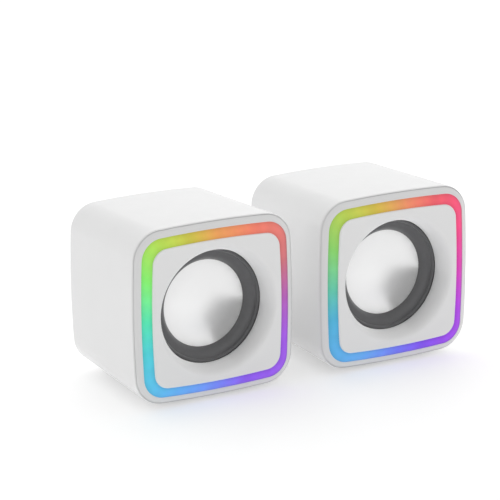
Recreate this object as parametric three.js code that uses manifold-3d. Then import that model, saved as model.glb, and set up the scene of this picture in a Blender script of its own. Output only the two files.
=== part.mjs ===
// A pair of small cube desktop speakers, each with a lit ring round its driver.
//
// Millimetres, +Z up. The two speakers stand in a row along X and face -Y. The origin is on the desk,
// under the middle of the pair. Inside one speaker's group, y is the depth behind the outer edge of the
// lit ring, and x and z are measured from the driver's axis.

import * as THREE from "three";
import { mergeVertices } from "three/addons/utils/BufferGeometryUtils.js";
import Module from "manifold-3d";

const wasm = await Module();
wasm.setup();

// Driving dimensions.
const CABINET_HALF = 35;
const CABINET_DEPTH = 59;
const SPEAKER_PITCH = 81.5;
const FOOT_STAND = 0.9;
const KNOB_STAND = 8;
const WALL = 2;
const GAP = 0.3;
const DRAFT = 0.05;
const EDGE_ROUND = 0.9;

// Bulged squares: half width, radius of the bowed sides, radius of the corners.
const SHELL = { half: CABINET_HALF, side: 450, corner: 11.9 };
const LIGHT_OUTER = { half: 31.75, side: 450, corner: 8.6 };
const LIGHT_INNER = { half: 28, side: 350, corner: 6.2 };
const RIM_WIDTH = 1.2;

// Depths behind the ring's outer edge. The front rises from the cabinet's rim to the fascia.
const RIM_FRONT = 1.3;
const FRAME_FRONT_OUTER = 1.5;
const FRAME_FRONT_INNER = 0;
const LIGHT_FRONT_OUTER = 0.1;
const LIGHT_FRONT_INNER = -1.4;
const FACE_FRONT = -1.9;
const FACE_ROUND = 0.6;
const FACE_BACK = 2.2;
const LIGHT_BACK = 2.3;
const BOARD_FRONT = 3;
const BOARD_BACK = 3.7;
const PLATE_FRONT = 4;
const PLATE_BACK = 6;
const LEDGE = PLATE_BACK + GAP;
const REAR_WALL = CABINET_DEPTH - WALL - 0.2;
const CASE_SCREW_TIP = 8;
const BOSS_BACK = 13.7;
const SEAT_BACK = 22;

// Places and radii of the fixings, all on the diagonals.
const CASE_SCREW_OFFSET = 25.6;
const DRIVER_SCREW_OFFSET = 20.15;
const POST_RADIUS = 4.2;
const BOSS_RADIUS = 2.9;
const DRIVER_POST_RADIUS = 2.8;
const CASE_SHANK = 1.4;
const CASE_HEAD = 2.7;
const DRIVER_SHANK = 1.2;
const DRIVER_HEAD = 2.2;

// The driver.
const WELL_FLARE = [[25.2, FACE_FRONT], [23.6, FACE_FRONT + 0.8], [22.9, FACE_FRONT + 2.6]];
const WELL_BACK_RADIUS = 22.7;
const TUBE_RADIUS = 25;
const DOME_RADIUS = 17.1;
const DOME_RIM = 10.3;
const DOME_HEIGHT = 4.8;
const SKIN = 0.5;
const CONE_LIP_RADIUS = 18.6;
const CONE_LIP = DOME_RIM + GAP;
const NECK_RADIUS = 13.2;
const FORMER_OUTER = 12.9;
const FORMER_INNER = 12.4;
const SURROUND_FLANGE = 6.3;
const BASKET_FLANGE = 7.2;
const BASKET_THICKNESS = 1;
const BASKET_FLOOR = 20.4;
const TOP_PLATE_FRONT = BASKET_FLOOR + GAP;
const MAGNET_FRONT = TOP_PLATE_FRONT + 3 + GAP;
const YOKE_FRONT = MAGNET_FRONT + 8 + GAP;
const YOKE_BACK = YOKE_FRONT + 3;
const STEEL_RADIUS = 18.5;
const MAGNET_OUTER = 20;
const MAGNET_INNER = 14.6;
const POLE_RADIUS = 11.9;

// Feet, cable glands and the volume control.
const FOOT_RADIUS = 3.5;
const FOOT_OFFSET = 14;
const FOOT_SINK = 0.6;
const FOOT_DEPTHS = [12, 48];
const GLAND_HEIGHT = -22;
const GLAND_HOLE = 3.5;
const LINK_GLAND_OFFSET = 8;
const KNOB_HEIGHT = 8;
const KNOB_CAP = 1.2;
const BUSHING_RADIUS = 3.4;
const SHAFT_RADIUS = 1.7;
const AMPLIFIER_FRONT = 46;
const AMPLIFIER_BACK = 47.6;
const POT_BACK = 54.9;
const SHAFT_FRONT = 51.6;

// Fineness of the facets.
const SIDE_STEPS = 3;
const CORNER_STEPS = 4;
const ROUND_STEPS = 24;
const HIDDEN_STEPS = 12;
const SCREW_STEPS = 8;

const ORIGIN = new THREE.Vector2();
const CORNERS = [[1, 1], [-1, 1], [-1, -1], [1, -1]];
const REACH = 1;

const FINISHES = {
  white_shell: { color: 0xe4e4e4, roughness: 0.35, metalness: 0 },
  pale_fascia: { color: 0xdcdcdc, roughness: 0.4, metalness: 0 },
  lit_ring: { color: 0xd070d0, roughness: 0.3, metalness: 0 },
  dark_rubber: { color: 0x4c4c4e, roughness: 0.55, metalness: 0 },
  satin_silver: { color: 0xe2e2e2, roughness: 0.3, metalness: 0.6 },
  paper_cone: { color: 0x3a3a3c, roughness: 0.8, metalness: 0 },
  circuit_board: { color: 0x1e6b3a, roughness: 0.6, metalness: 0 },
  steel: { color: 0x9a9ca0, roughness: 0.35, metalness: 1 },
  ferrite: { color: 0x35353a, roughness: 0.7, metalness: 0.1 },
  copper: { color: 0xb4693a, roughness: 0.4, metalness: 0.9 },
  amber_cloth: { color: 0xc79a45, roughness: 0.9, metalness: 0 },
};

// ---- Outlines ----

function arc(cx, cy, radius, from, to, steps) {
  return Array.from({ length: steps }, (_, i) => {
    const angle = from + ((to - from) * i) / steps;
    return new THREE.Vector2(cx + radius * Math.cos(angle), cy + radius * Math.sin(angle));
  });
}

function inset({ half, side, corner }, distance) {
  return { half: half - distance, side: side - distance, corner: corner - distance };
}

// A square with bowed sides and round corners, every arc tangent to the next.
function bulgedSquare({ half, side, corner }) {
  const offset = side - half;
  const centre = (Math.sqrt(2 * (side - corner) ** 2 - offset ** 2) - offset) / 2;
  const spread = Math.atan2(centre, centre + offset);
  const quarter = [
    ...arc(-offset, 0, side, -spread, spread, SIDE_STEPS),
    ...arc(centre, centre, corner, spread, Math.PI / 2 - spread, CORNER_STEPS),
  ];
  const turns = CORNERS.map((_, turn) => (turn * Math.PI) / 2);
  return turns.flatMap((angle) => quarter.map((p) => p.clone().rotateAround(ORIGIN, angle)));
}

// ---- Solids ----

function closed(vertProperties, triangles) {
  const triVerts = Uint32Array.from(triangles);
  return new wasm.Manifold(new wasm.Mesh({ numProp: 3, vertProperties, triVerts }));
}

function solid(geometry) {
  geometry.deleteAttribute("normal");
  geometry.deleteAttribute("uv");
  const merged = mergeVertices(geometry);
  const index = merged.index.array;
  const triangles = [];
  for (let i = 0; i < index.length; i += 3) {
    const [a, b, c] = [index[i], index[i + 1], index[i + 2]];
    if (a !== b && b !== c && c !== a) {
      triangles.push(a, b, c);
    }
  }
  return closed(merged.attributes.position.array, triangles);
}

function join(solids) {
  return solids.reduce((sum, next) => sum.add(next));
}

function cut(body, tools) {
  return tools.reduce((rest, tool) => rest.subtract(tool), body);
}

// Narrows a shape towards the back of the cabinet, as a moulded tub is.
function drafted(geometry) {
  const position = geometry.attributes.position;
  for (let i = 0; i < position.count; i += 1) {
    const scale = 1 - (DRAFT * position.getY(i)) / CABINET_DEPTH;
    position.setXYZ(i, position.getX(i) * scale, position.getY(i), position.getZ(i) * scale);
  }
  return geometry;
}

// An outline pushed from one depth to another, with its two edges rounded if a radius is given.
function prismGeometry(outline, front, back, round = 0) {
  const shape = new THREE.Shape(outline);
  const geometry = new THREE.ExtrudeGeometry(shape, {
    depth: back - front - 2 * round,
    bevelEnabled: round > 0,
    bevelThickness: round,
    bevelSize: round,
    bevelOffset: -round,
    bevelSegments: 2,
  });
  return geometry.rotateX(Math.PI / 2).translate(0, back - round, 0);
}

function prism(outline, front, back) {
  return solid(prismGeometry(outline, front, back));
}

function ring(outer, inner, front, back) {
  return prism(bulgedSquare(outer), front, back).subtract(
    prism(bulgedSquare(inner), front - REACH, back + REACH),
  );
}

// A ring whose front slopes from the outer edge's depth to the inner edge's.
function slopedRing(outer, inner, frontOuter, frontInner, back) {
  const sections = [[outer, back], [inner, back], [inner, frontInner], [outer, frontOuter]];
  const loops = sections.map(([outline, depth]) => bulgedSquare(outline).map((p) => [p.x, depth, p.y]));
  const count = loops[0].length;
  const triangles = loops.flatMap((_, s) => loops[s].flatMap((__, i) => {
    const a = s * count + i;
    const b = s * count + ((i + 1) % count);
    const c = ((s + 1) % loops.length) * count + i;
    const d = ((s + 1) % loops.length) * count + ((i + 1) % count);
    return [a, d, b, a, c, d];
  }));
  return closed(Float32Array.from(loops.flat(2)), triangles);
}

// A turned shape about the depth axis from [radius, depth] points: closed, or from axis to axis.
function turnedGeometry(profile, steps) {
  const points = profile.map(([radius, depth]) => new THREE.Vector2(radius, depth));
  if (THREE.ShapeUtils.area(points) < 0) {
    points.reverse();
  }
  if (profile[0][0] > 0) {
    points.push(points[0].clone());
  }
  return new THREE.LatheGeometry(points, steps);
}

function turned(profile, steps = ROUND_STEPS, x = 0, z = 0) {
  return solid(turnedGeometry(profile, steps).translate(x, 0, z));
}

function rod(radius, front, back, x = 0, z = 0, steps = SCREW_STEPS) {
  return turned([[0, front], [radius, front], [radius, back], [0, back]], steps, x, z);
}

function washer(outer, inner, front, back, steps = HIDDEN_STEPS) {
  return turned([[inner, front], [outer, front], [outer, back], [inner, back]], steps);
}

// A turned shape that stands upright: the profile's second number is a height.
function upright(profile, x, depth, steps = HIDDEN_STEPS) {
  return solid(turnedGeometry(profile, steps).rotateX(Math.PI / 2).translate(x, depth, 0));
}

function block(low, high) {
  const size = high.map((value, i) => value - low[i]);
  const middle = high.map((value, i) => (value + low[i]) / 2);
  return solid(new THREE.BoxGeometry(...size).translate(...middle));
}

function atCorners(offset, make) {
  return CORNERS.map(([sx, sz]) => make(sx * offset, sz * offset));
}

// ---- The enclosure ----

// Height of the cabinet's drafted underside above the driver's axis, as a negative number.
function underside(x, depth) {
  const bow = (x * x) / (2 * SHELL.side);
  return -(SHELL.half - bow) * (1 - (DRAFT * depth) / CABINET_DEPTH);
}

function footRecessTop(depth) {
  return underside(FOOT_OFFSET, depth) + FOOT_SINK;
}

function cabinet(rearHoles) {
  const tub = solid(drafted(prismGeometry(bulgedSquare(SHELL), RIM_FRONT, CABINET_DEPTH, EDGE_ROUND)));
  const pocket = prism(bulgedSquare(inset(SHELL, RIM_WIDTH)), -REACH, LEDGE);
  const hollow = solid(drafted(prismGeometry(bulgedSquare(inset(SHELL, WALL)), LEDGE - REACH, REAR_WALL)));
  const posts = atCorners(CASE_SCREW_OFFSET, (x, z) => {
    return rod(POST_RADIUS, BOSS_BACK + GAP, REAR_WALL + REACH, x, z, HIDDEN_STEPS);
  });
  const headBores = atCorners(CASE_SCREW_OFFSET, (x, z) => {
    return rod(CASE_HEAD + GAP, SEAT_BACK, CABINET_DEPTH + REACH, x, z, HIDDEN_STEPS);
  });
  const shankBores = atCorners(CASE_SCREW_OFFSET, (x, z) => {
    return rod(CASE_SHANK + GAP, BOSS_BACK, SEAT_BACK + REACH, x, z);
  });
  const recesses = FOOT_DEPTHS.flatMap((depth) => [-FOOT_OFFSET, FOOT_OFFSET].map((x) => {
    const radius = FOOT_RADIUS + GAP;
    const bottom = -CABINET_HALF - REACH;
    const top = footRecessTop(depth);
    return upright([[0, bottom], [radius, bottom], [radius, top], [0, top]], x, depth);
  }));
  const holes = rearHoles.map(({ radius, x, z }) => {
    return rod(radius, REAR_WALL - REACH, CABINET_DEPTH + REACH, x, z, HIDDEN_STEPS);
  });
  const shell = join([cut(tub, [pocket, hollow]), ...posts]);
  return cut(shell, [...headBores, ...shankBores, ...recesses, ...holes]);
}

function frontFrame() {
  const outer = inset(SHELL, RIM_WIDTH + GAP);
  return slopedRing(outer, inset(LIGHT_OUTER, -GAP / 2), FRAME_FRONT_OUTER, FRAME_FRONT_INNER, BOARD_BACK);
}

function lightRing() {
  const outer = inset(LIGHT_OUTER, GAP / 2);
  return slopedRing(outer, inset(LIGHT_INNER, -GAP / 2), LIGHT_FRONT_OUTER, LIGHT_FRONT_INNER, LIGHT_BACK);
}

// A ring-shaped board with three lamps along each side.
function ledBoard() {
  const margin = 0.2;
  const lampHalf = 1.1;
  const spacing = 15;
  const board = ring(inset(LIGHT_OUTER, margin), inset(LIGHT_INNER, -margin), BOARD_FRONT, BOARD_BACK);
  const middle = (LIGHT_OUTER.half + LIGHT_INNER.half) / 2;
  const lamps = [-spacing, 0, spacing].flatMap((along) => {
    const out = middle - (along * along) / (2 * LIGHT_OUTER.side);
    const places = [[along, out], [along, -out], [out, along], [-out, along]];
    return places.map(([x, z]) => block(
      [x - lampHalf, LIGHT_BACK + GAP, z - lampHalf],
      [x + lampHalf, BOARD_FRONT + margin, z + lampHalf],
    ));
  });
  return join([board, ...lamps]);
}

// The pale fascia with its round well, on the plate that closes the cabinet.
function driverBaffle() {
  const outline = bulgedSquare(inset(LIGHT_INNER, GAP / 2));
  const face = solid(prismGeometry(outline, FACE_FRONT, FACE_BACK, FACE_ROUND));
  const plate = prism(bulgedSquare(inset(SHELL, RIM_WIDTH + GAP)), PLATE_FRONT, PLATE_BACK);
  const tube = rod(TUBE_RADIUS, FACE_BACK - REACH, PLATE_BACK, 0, 0, ROUND_STEPS);
  const posts = atCorners(DRIVER_SCREW_OFFSET, (x, z) => {
    return rod(DRIVER_POST_RADIUS, FACE_BACK - GAP, PLATE_FRONT + GAP, x, z, HIDDEN_STEPS);
  });
  const bosses = atCorners(CASE_SCREW_OFFSET, (x, z) => {
    return rod(BOSS_RADIUS, PLATE_BACK - GAP, BOSS_BACK, x, z, HIDDEN_STEPS);
  });
  const well = turned([
    [0, FACE_FRONT - REACH],
    [WELL_FLARE[0][0], FACE_FRONT - REACH],
    ...WELL_FLARE,
    [WELL_BACK_RADIUS, PLATE_BACK],
    [WELL_BACK_RADIUS, PLATE_BACK + REACH],
    [0, PLATE_BACK + REACH],
  ]);
  const driverPilots = atCorners(DRIVER_SCREW_OFFSET, (x, z) => {
    return rod(DRIVER_SHANK + GAP, FACE_BACK + GAP, PLATE_BACK + REACH, x, z);
  });
  const casePilots = atCorners(CASE_SCREW_OFFSET, (x, z) => {
    return rod(CASE_SHANK + GAP, PLATE_BACK + GAP, BOSS_BACK + REACH, x, z);
  });
  const body = join([face, plate, tube, ...posts, ...bosses]);
  return cut(body, [well, ...driverPilots, ...casePilots]);
}

// A rubber foot that sits in a shallow recess of the drafted underside.
function foot(x, depth) {
  const chamfer = 0.5;
  const bottom = -CABINET_HALF - FOOT_STAND;
  const top = footRecessTop(depth) - GAP;
  const profile = [
    [0, bottom],
    [FOOT_RADIUS - chamfer, bottom],
    [FOOT_RADIUS, bottom + chamfer],
    [FOOT_RADIUS, top],
    [0, top],
  ];
  return upright(profile, x, depth);
}

// A rubber gland gripping the rear wall, with a clear bore for the lead.
function grommet(x) {
  const bore = 2;
  const neck = GLAND_HOLE - GAP;
  const flange = 4.6;
  const thickness = 1.3;
  const profile = [
    [bore, REAR_WALL - GAP - thickness],
    [flange, REAR_WALL - GAP - thickness],
    [flange, REAR_WALL - GAP],
    [neck, REAR_WALL - GAP],
    [neck, CABINET_DEPTH + GAP],
    [flange, CABINET_DEPTH + GAP],
    [flange - thickness / 2, CABINET_DEPTH + GAP + thickness],
    [bore, CABINET_DEPTH + GAP + thickness],
  ];
  return turned(profile, HIDDEN_STEPS, x, GLAND_HEIGHT);
}

// A screw driven from the rear, with a socket in its head.
function screw({ x, z, seat, tip, headRadius, headHeight, shankRadius }) {
  const end = seat + headHeight;
  const socketRadius = headRadius / 2;
  const socketFloor = end - headHeight / 2;
  return turned([
    [0, tip],
    [shankRadius, tip],
    [shankRadius, seat],
    [headRadius, seat],
    [headRadius, end],
    [socketRadius, end],
    [socketRadius, socketFloor],
    [0, socketFloor],
  ], SCREW_STEPS, x, z);
}

function caseScrew(x, z) {
  return screw({
    x,
    z,
    seat: SEAT_BACK + GAP,
    tip: CASE_SCREW_TIP,
    headRadius: CASE_HEAD,
    headHeight: 2,
    shankRadius: CASE_SHANK,
  });
}

function driverScrew(x, z) {
  return screw({
    x,
    z,
    seat: BASKET_FLANGE + BASKET_THICKNESS + GAP,
    tip: FACE_BACK + 3 * GAP,
    headRadius: DRIVER_HEAD,
    headHeight: 1.5,
    shankRadius: DRIVER_SHANK,
  });
}

// ---- The driver ----

// Points of a circle's arc that bows by a given height from one [radius, depth] point to another.
function bowedLine(from, to, bow, steps) {
  const run = [to[0] - from[0], to[1] - from[1]];
  return Array.from({ length: steps + 1 }, (_, i) => {
    const t = i / steps;
    const rise = (4 * bow * t * (1 - t)) / Math.hypot(...run);
    return [from[0] + run[0] * t + run[1] * rise, from[1] + run[1] * t - run[0] * rise];
  });
}

// A flange under the well's tube, and a broad rubber roll that dives to the dome's rim.
function surround() {
  const flangeInner = 21.8;
  const inner = DOME_RADIUS + GAP;
  const bow = -0.9;
  const front = bowedLine([flangeInner, SURROUND_FLANGE], [inner, DOME_RIM - SKIN], bow, 4);
  const back = bowedLine([inner, DOME_RIM], [flangeInner, SURROUND_FLANGE + SKIN], -bow, 4);
  return turned([
    [TUBE_RADIUS + SKIN, SURROUND_FLANGE],
    ...front,
    ...back,
    [TUBE_RADIUS + SKIN, SURROUND_FLANGE + SKIN],
  ]);
}

function cone() {
  const lipInner = 16.6;
  const neckDepth = 15.4;
  return turned([
    [CONE_LIP_RADIUS, CONE_LIP],
    [CONE_LIP_RADIUS, CONE_LIP + SKIN],
    [lipInner - SKIN / 2, CONE_LIP + SKIN],
    [NECK_RADIUS, neckDepth + SKIN],
    [NECK_RADIUS, neckDepth - SKIN],
    [lipInner, CONE_LIP],
  ]);
}

// Depth of a spherical cap at a radius.
function capDepth(radius, rimRadius, rimDepth, height) {
  const sphere = (rimRadius ** 2 + height ** 2) / (2 * height);
  return rimDepth - height + sphere - Math.sqrt(sphere ** 2 - radius ** 2);
}

function dustCap() {
  const steps = 5;
  const radii = Array.from({ length: steps + 1 }, (_, i) => (DOME_RADIUS * i) / steps);
  const front = radii.map((r) => [r, capDepth(r, DOME_RADIUS, DOME_RIM - SKIN, DOME_HEIGHT)]);
  const back = radii.map((r) => [r, capDepth(r, DOME_RADIUS, DOME_RIM, DOME_HEIGHT)]);
  return turned([...front, ...back.reverse()]);
}

function voiceCoil() {
  const formerFront = 14;
  const windingFront = TOP_PLATE_FRONT;
  const windingBack = windingFront + 4.5;
  const windingRadius = FORMER_OUTER + 0.2;
  return turned([
    [FORMER_INNER, formerFront],
    [FORMER_OUTER, formerFront],
    [FORMER_OUTER, windingFront],
    [windingRadius, windingFront],
    [windingRadius, windingBack],
    [FORMER_OUTER, windingBack],
    [FORMER_OUTER, windingBack + 1],
    [FORMER_INNER, windingBack + 1],
  ], HIDDEN_STEPS);
}

// A corrugated disc between the former and the basket's ledge.
function spider() {
  const outer = 21.7;
  const land = 1.2;
  const depth = 17.3;
  const wave = 0.5;
  const waves = 2;
  const steps = waves * 4;
  const span = outer - land - NECK_RADIUS;
  const radii = Array.from({ length: steps + 1 }, (_, i) => NECK_RADIUS + (span * i) / steps);
  const front = radii.map((r, i) => [r, depth + wave * Math.sin((i * Math.PI) / 2)]);
  const back = front.map(([r, y]) => [r, y + SKIN]).reverse();
  return turned([...front, [outer, depth], [outer, depth + SKIN], ...back], HIDDEN_STEPS);
}

function basket() {
  const flangeOuter = 26;
  const flangeInner = 22.4;
  const ledge = 18.2;
  const wallOuter = 23.5;
  const floorInner = 13.7;
  const thickness = BASKET_THICKNESS;
  const cup = turned([
    [flangeInner, BASKET_FLANGE],
    [flangeOuter, BASKET_FLANGE],
    [flangeOuter, BASKET_FLANGE + thickness],
    [wallOuter, BASKET_FLANGE + thickness],
    [wallOuter - 0.4, BASKET_FLOOR],
    [floorInner, BASKET_FLOOR],
    [floorInner, BASKET_FLOOR - thickness],
    [flangeInner - 2, BASKET_FLOOR - thickness],
    [flangeInner - 2, ledge],
    [flangeInner - 0.3, ledge],
  ]);
  const earRadius = 3.2;
  const ears = atCorners(DRIVER_SCREW_OFFSET, (x, z) => {
    return rod(earRadius, BASKET_FLANGE, BASKET_FLANGE + thickness, x, z, HIDDEN_STEPS);
  });
  const holes = atCorners(DRIVER_SCREW_OFFSET, (x, z) => {
    return rod(DRIVER_SHANK + GAP, BASKET_FLANGE - REACH, BASKET_FLANGE + 2 * REACH, x, z);
  });
  const windowHalf = 9;
  const windowFront = 10;
  const windowBack = 16.5;
  const windows = [
    block([-flangeOuter, windowFront, -windowHalf], [flangeOuter, windowBack, windowHalf]),
    block([-windowHalf, windowFront, -flangeOuter], [windowHalf, windowBack, flangeOuter]),
  ];
  return cut(join([cup, ...ears]), [...holes, ...windows]);
}

function topPlate() {
  return washer(STEEL_RADIUS, FORMER_OUTER + 2 * GAP, TOP_PLATE_FRONT, MAGNET_FRONT - GAP);
}

function magnet() {
  return washer(MAGNET_OUTER, MAGNET_INNER, MAGNET_FRONT, YOKE_FRONT - GAP);
}

function yoke() {
  return turned([
    [0, TOP_PLATE_FRONT],
    [POLE_RADIUS, TOP_PLATE_FRONT],
    [POLE_RADIUS, YOKE_FRONT],
    [STEEL_RADIUS, YOKE_FRONT],
    [STEEL_RADIUS, YOKE_BACK],
    [0, YOKE_BACK],
  ], HIDDEN_STEPS);
}

// ---- The amplifier and volume control, in the right speaker only ----

function amplifierBoard() {
  const half = 18;
  const bottom = -16;
  const capacitor = { radius: 3.2, height: 8, z: -8, spacing: 11 };
  const chip = { half: 5, height: 1.5, bottom: 3, top: 12 };
  const board = block([-half, AMPLIFIER_FRONT, bottom], [half, AMPLIFIER_BACK, half]);
  const capacitors = [-capacitor.spacing, 0, capacitor.spacing].map((x) => {
    const front = AMPLIFIER_FRONT - capacitor.height;
    return rod(capacitor.radius, front, AMPLIFIER_FRONT + GAP, x, capacitor.z, HIDDEN_STEPS);
  });
  const casing = block(
    [-chip.half, AMPLIFIER_FRONT - chip.height, chip.bottom],
    [chip.half, AMPLIFIER_FRONT + GAP, chip.top],
  );
  return join([board, casing, ...capacitors]);
}

function potentiometer() {
  const half = 6;
  const bushingBack = CABINET_DEPTH + 2.6;
  const front = AMPLIFIER_BACK + GAP;
  const body = block([-half, front, KNOB_HEIGHT - half], [half, POT_BACK, KNOB_HEIGHT + half]);
  const bushing = rod(BUSHING_RADIUS, POT_BACK - REACH, bushingBack, 0, KNOB_HEIGHT, HIDDEN_STEPS);
  const boreFront = SHAFT_FRONT - 2 * GAP;
  const bore = rod(SHAFT_RADIUS + GAP, boreFront, bushingBack + REACH, 0, KNOB_HEIGHT, HIDDEN_STEPS);
  return join([body, bushing]).subtract(bore);
}

function potNut() {
  const hexRadius = 5.4;
  const back = CABINET_DEPTH + 1.8;
  const nut = rod(hexRadius, CABINET_DEPTH + GAP, back, 0, KNOB_HEIGHT, 6);
  return nut.subtract(rod(BUSHING_RADIUS + GAP, CABINET_DEPTH, back + REACH, 0, KNOB_HEIGHT, HIDDEN_STEPS));
}

function volumeShaft() {
  const back = CABINET_DEPTH + KNOB_STAND - KNOB_CAP - GAP;
  return rod(SHAFT_RADIUS, SHAFT_FRONT, back, 0, KNOB_HEIGHT, HIDDEN_STEPS);
}

// A ribbed knob, hollow where it covers the nut, with a pointer groove across its end.
function volumeKnob() {
  const radius = 7.6;
  const ribs = 20;
  const ribHeight = 0.35;
  const nutRoomRadius = 6.2;
  const nutRoomBack = CABINET_DEPTH + 3;
  const groove = { half: 0.4, depth: 0.5, start: 1.5 };
  const outline = Array.from({ length: ribs * 2 }, (_, i) => {
    const angle = (i * Math.PI) / ribs;
    const reach = radius - (i % 2) * ribHeight;
    return new THREE.Vector2(reach * Math.cos(angle), reach * Math.sin(angle));
  });
  const front = CABINET_DEPTH + 0.5;
  const back = CABINET_DEPTH + KNOB_STAND;
  const body = solid(prismGeometry(outline, front, back).translate(0, 0, KNOB_HEIGHT));
  const chamfer = turned([
    [0, front - REACH],
    [radius + REACH, front - REACH],
    [radius + REACH, back - REACH],
    [radius - REACH, back],
    [0, back],
  ], ROUND_STEPS, 0, KNOB_HEIGHT);
  const nutRoom = rod(nutRoomRadius, front - REACH, nutRoomBack, 0, KNOB_HEIGHT, HIDDEN_STEPS);
  const shaftBore = rod(SHAFT_RADIUS + GAP, front, back - KNOB_CAP, 0, KNOB_HEIGHT, HIDDEN_STEPS);
  const pointer = block(
    [-groove.half, back - groove.depth, KNOB_HEIGHT + groove.start],
    [groove.half, back + REACH, KNOB_HEIGHT + radius + REACH],
  );
  return cut(body.intersect(chamfer), [nutRoom, shaftBore, pointer]);
}

// ---- Assembly ----

function mesh(name, manifold, finish) {
  const { vertProperties, triVerts } = manifold.getMesh();
  const geometry = new THREE.BufferGeometry();
  geometry.setAttribute("position", new THREE.BufferAttribute(vertProperties, 3));
  geometry.setIndex(new THREE.BufferAttribute(triVerts, 1));
  geometry.computeVertexNormals();
  const material = new THREE.MeshStandardMaterial({ ...FINISHES[finish], flatShading: true });
  const result = new THREE.Mesh(geometry, material);
  result.name = name;
  return result;
}

function numbered(name, solids, finish) {
  return solids.map((manifold, i) => mesh(`${name}_${i + 1}`, manifold, finish));
}

function speaker(side, x, rearHoles) {
  const name = (piece) => `${side}_${piece}`;
  const feet = FOOT_DEPTHS.flatMap((depth) => [-FOOT_OFFSET, FOOT_OFFSET].map((fx) => foot(fx, depth)));
  const group = new THREE.Group();
  group.position.set(x, -(FACE_FRONT + CABINET_DEPTH + KNOB_STAND) / 2, CABINET_HALF + FOOT_STAND);
  group.add(
    mesh(name("cabinet"), cabinet(rearHoles), "white_shell"),
    mesh(name("front_frame"), frontFrame(), "white_shell"),
    mesh(name("light_ring"), lightRing(), "lit_ring"),
    mesh(name("led_board"), ledBoard(), "circuit_board"),
    mesh(name("driver_baffle"), driverBaffle(), "pale_fascia"),
    mesh(name("surround"), surround(), "dark_rubber"),
    mesh(name("cone"), cone(), "paper_cone"),
    mesh(name("dust_cap"), dustCap(), "satin_silver"),
    mesh(name("voice_coil"), voiceCoil(), "copper"),
    mesh(name("spider"), spider(), "amber_cloth"),
    mesh(name("basket"), basket(), "steel"),
    mesh(name("top_plate"), topPlate(), "steel"),
    mesh(name("magnet"), magnet(), "ferrite"),
    mesh(name("yoke"), yoke(), "steel"),
    ...numbered(name("foot"), feet, "dark_rubber"),
    ...numbered(name("case_screw"), atCorners(CASE_SCREW_OFFSET, caseScrew), "steel"),
    ...numbered(name("driver_screw"), atCorners(DRIVER_SCREW_OFFSET, driverScrew), "steel"),
  );
  return group;
}

function gland(x) {
  return { radius: GLAND_HOLE, x, z: GLAND_HEIGHT };
}

const left = speaker("left", -SPEAKER_PITCH / 2, [gland(0)]);
left.add(mesh("left_grommet", grommet(0), "dark_rubber"));

const right = speaker("right", SPEAKER_PITCH / 2, [
  gland(-LINK_GLAND_OFFSET),
  gland(LINK_GLAND_OFFSET),
  { radius: BUSHING_RADIUS + GAP, x: 0, z: KNOB_HEIGHT },
]);
right.add(
  mesh("right_link_grommet", grommet(-LINK_GLAND_OFFSET), "dark_rubber"),
  mesh("right_supply_grommet", grommet(LINK_GLAND_OFFSET), "dark_rubber"),
  mesh("amplifier_board", amplifierBoard(), "circuit_board"),
  mesh("potentiometer", potentiometer(), "steel"),
  mesh("pot_nut", potNut(), "steel"),
  mesh("volume_shaft", volumeShaft(), "steel"),
  mesh("volume_knob", volumeKnob(), "white_shell"),
);

const speakers = new THREE.Group();
speakers.add(left, right);

export default speakers;
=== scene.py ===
"""Looks of a pair of small cube desktop speakers, built round their packed mechanical frame."""

import logging
import math
from dataclasses import dataclass, field
from enum import Enum
from typing import Iterable, Sequence

import bmesh
import bpy
import numpy as np
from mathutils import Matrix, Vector


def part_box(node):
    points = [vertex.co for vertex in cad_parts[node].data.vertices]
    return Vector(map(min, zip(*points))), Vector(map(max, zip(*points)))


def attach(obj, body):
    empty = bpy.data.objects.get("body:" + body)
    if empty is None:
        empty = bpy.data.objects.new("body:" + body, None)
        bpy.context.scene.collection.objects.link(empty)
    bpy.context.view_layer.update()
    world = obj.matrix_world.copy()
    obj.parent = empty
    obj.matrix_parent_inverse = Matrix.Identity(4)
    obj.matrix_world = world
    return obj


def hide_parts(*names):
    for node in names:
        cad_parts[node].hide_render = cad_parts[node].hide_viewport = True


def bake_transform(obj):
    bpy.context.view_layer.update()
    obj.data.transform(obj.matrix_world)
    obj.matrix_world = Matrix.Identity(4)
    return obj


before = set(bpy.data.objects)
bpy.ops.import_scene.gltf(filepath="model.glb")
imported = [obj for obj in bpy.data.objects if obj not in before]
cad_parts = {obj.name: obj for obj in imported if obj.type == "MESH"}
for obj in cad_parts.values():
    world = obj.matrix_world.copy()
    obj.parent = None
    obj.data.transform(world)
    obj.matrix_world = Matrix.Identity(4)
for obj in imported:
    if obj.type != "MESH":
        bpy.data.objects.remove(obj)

LOG = logging.getLogger("speakers")
MM = 0.001
ACROSS = "across"
SHARP_DEGREES = 32.0
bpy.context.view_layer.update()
Colour = tuple[float, float, float, float]
Point = tuple[float, float]
Profile = list[Point]
Stops = tuple[tuple[float, Colour], ...]
Item = bpy.types.Object
Socket = bpy.types.NodeSocket


class Side(Enum):
    """Which speaker of the pair a piece belongs to."""

    LEFT = "left"
    RIGHT = "right"

    def node(self, piece: str) -> str:
        """Gives the frame's name of this side's piece."""
        return f"{self.value}_{piece}"

    @property
    def case(self) -> str:
        """Gives the body that the cabinet belongs to."""
        return f"{self.value}_speaker"

    @property
    def cone(self) -> str:
        """Gives the body that moves with the voice coil."""
        return f"{self.value}_diaphragm"


class Slot(Enum):
    """The record's material slots."""

    SHELL = "shell_white"
    FASCIA = "fascia_white"
    RING = "ring_light"
    RUBBER = "rubber_grey"
    FOOT = "foot_rubber"
    CONE = "cone_black"
    DOME = "dome_silver"
    COPPER = "copper"
    CLOTH = "spider_cloth"
    ZINC = "steel_zinc"
    SCREW = "screw_steel"
    FERRITE = "ferrite"
    BOARD = "circuit_board"


def grey(level: float) -> Colour:
    """Gives an opaque neutral colour of one linear level."""
    return (level, level, level, 1.0)


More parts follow.
